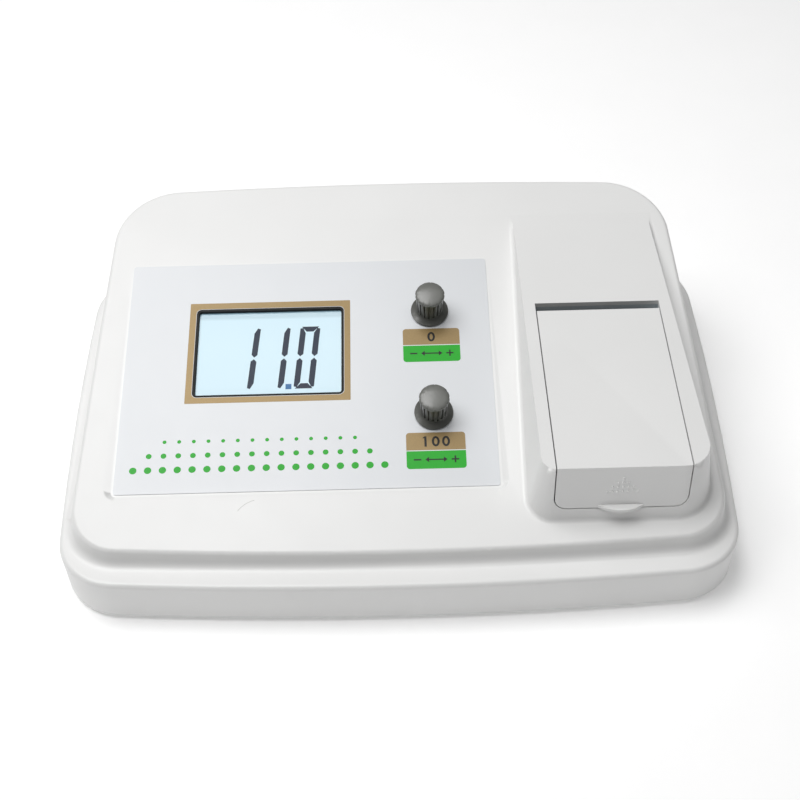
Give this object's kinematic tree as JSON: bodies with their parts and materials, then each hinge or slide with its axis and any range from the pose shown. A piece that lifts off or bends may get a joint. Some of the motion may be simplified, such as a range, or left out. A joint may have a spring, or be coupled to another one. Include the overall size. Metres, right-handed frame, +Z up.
{
  "type": "turbidity meter",
  "caption": "Bench turbidity meter: wedge shaped case with sloping printed panel, backlit display, zero and span knobs, and a hinged lid over the sample well.",
  "frame": {"origin": "on the table under the middle of the case", "axes": "+X to the user's right, +Y to the rear, +Z up"},
  "size_m": [0.3526, 0.25, 0.0921],
  "materials": {
    "case_plastic": "satin moulded plastic",
    "black_plastic": "matte",
    "gloss_black": "gloss",
    "knob_plastic": "satin",
    "film": "satin printed film",
    "light_guide": "milky",
    "clear_glass": "polished",
    "circuit_board": "satin lacquer",
    "rubber": "matte",
    "foam": "matte foam",
    "steel": "bright plated",
    "aluminium": "satin",
    "brass": "bright",
    "core_iron": "varnished sheet stack",
    "coil_tape": "yellow tape"
  },
  "bodies": {
    "case": {"top_cover": "case_plastic", "bottom_tray": "case_plastic", "rubber_feet": "rubber", "case_screws": "steel", "board_screws": "steel", "main_board": "circuit_board", "board_chips": "black_plastic", "capacitors": "aluminium", "heat_sink": "aluminium", "transformer_core": "core_iron", "transformer_coil": "coil_tape", "panel_film": "film", "display_bezel": "gloss_black", "display_glass": "clear_glass", "display_backlight": "light_guide", "display_board": "circuit_board", "zero_potentiometer": "steel", "span_potentiometer": "steel", "pot_nuts": "steel", "potentiometer_board": "circuit_board", "chamber_tub": "black_plastic", "lid_seal": "foam", "hinge_pin": "steel", "cell_block": "black_plastic", "lamp_barrel": "aluminium", "condenser_lens": "clear_glass", "lamp_holder": "black_plastic", "lamp": "clear_glass", "light_detector": "black_plastic", "detector_board": "circuit_board", "power_inlet": "black_plastic", "inlet_pins": "brass", "switch_housing": "black_plastic", "fuse_holder": "black_plastic"},
    "lid": {"chamber_lid": "case_plastic"},
    "zero_control": {"zero_knob": "knob_plastic", "zero_shaft": "steel"},
    "span_control": {"span_knob": "knob_plastic", "span_shaft": "steel"},
    "rocker": {"switch_rocker": "gloss_black"},
    "fuse_carrier": {"fuse_cap": "black_plastic"}
  },
  "joints": [
    {"name": "lid_hinge", "type": "hinge", "parent": "case", "child": "lid", "pos_m": [0.10675, 0.004, 0.07209], "axis": [-1, 0, 0], "range_deg": [0, 100]},
    {"name": "zero_turn", "type": "hinge", "parent": "case", "child": "zero_control", "pos_m": [0.0192, 0.0233, 0.0696], "axis": [0, -0.2725, 0.9622], "range_deg": [-150, 150]},
    {"name": "span_turn", "type": "hinge", "parent": "case", "child": "span_control", "pos_m": [0.0192, -0.0358, 0.05286], "axis": [0, -0.2725, 0.9622], "range_deg": [-150, 150]},
    {"name": "switch_rock", "type": "hinge", "parent": "case", "child": "rocker", "pos_m": [-0.074, 0.11, 0.053], "axis": [-1, 0, 0], "range_deg": [0, 12]},
    {"name": "fuse_turn", "type": "hinge", "parent": "case", "child": "fuse_carrier", "pos_m": [-0.095, 0.112, 0.053], "axis": [0, 1, 0], "range_deg": [0, 90]}
  ]
}
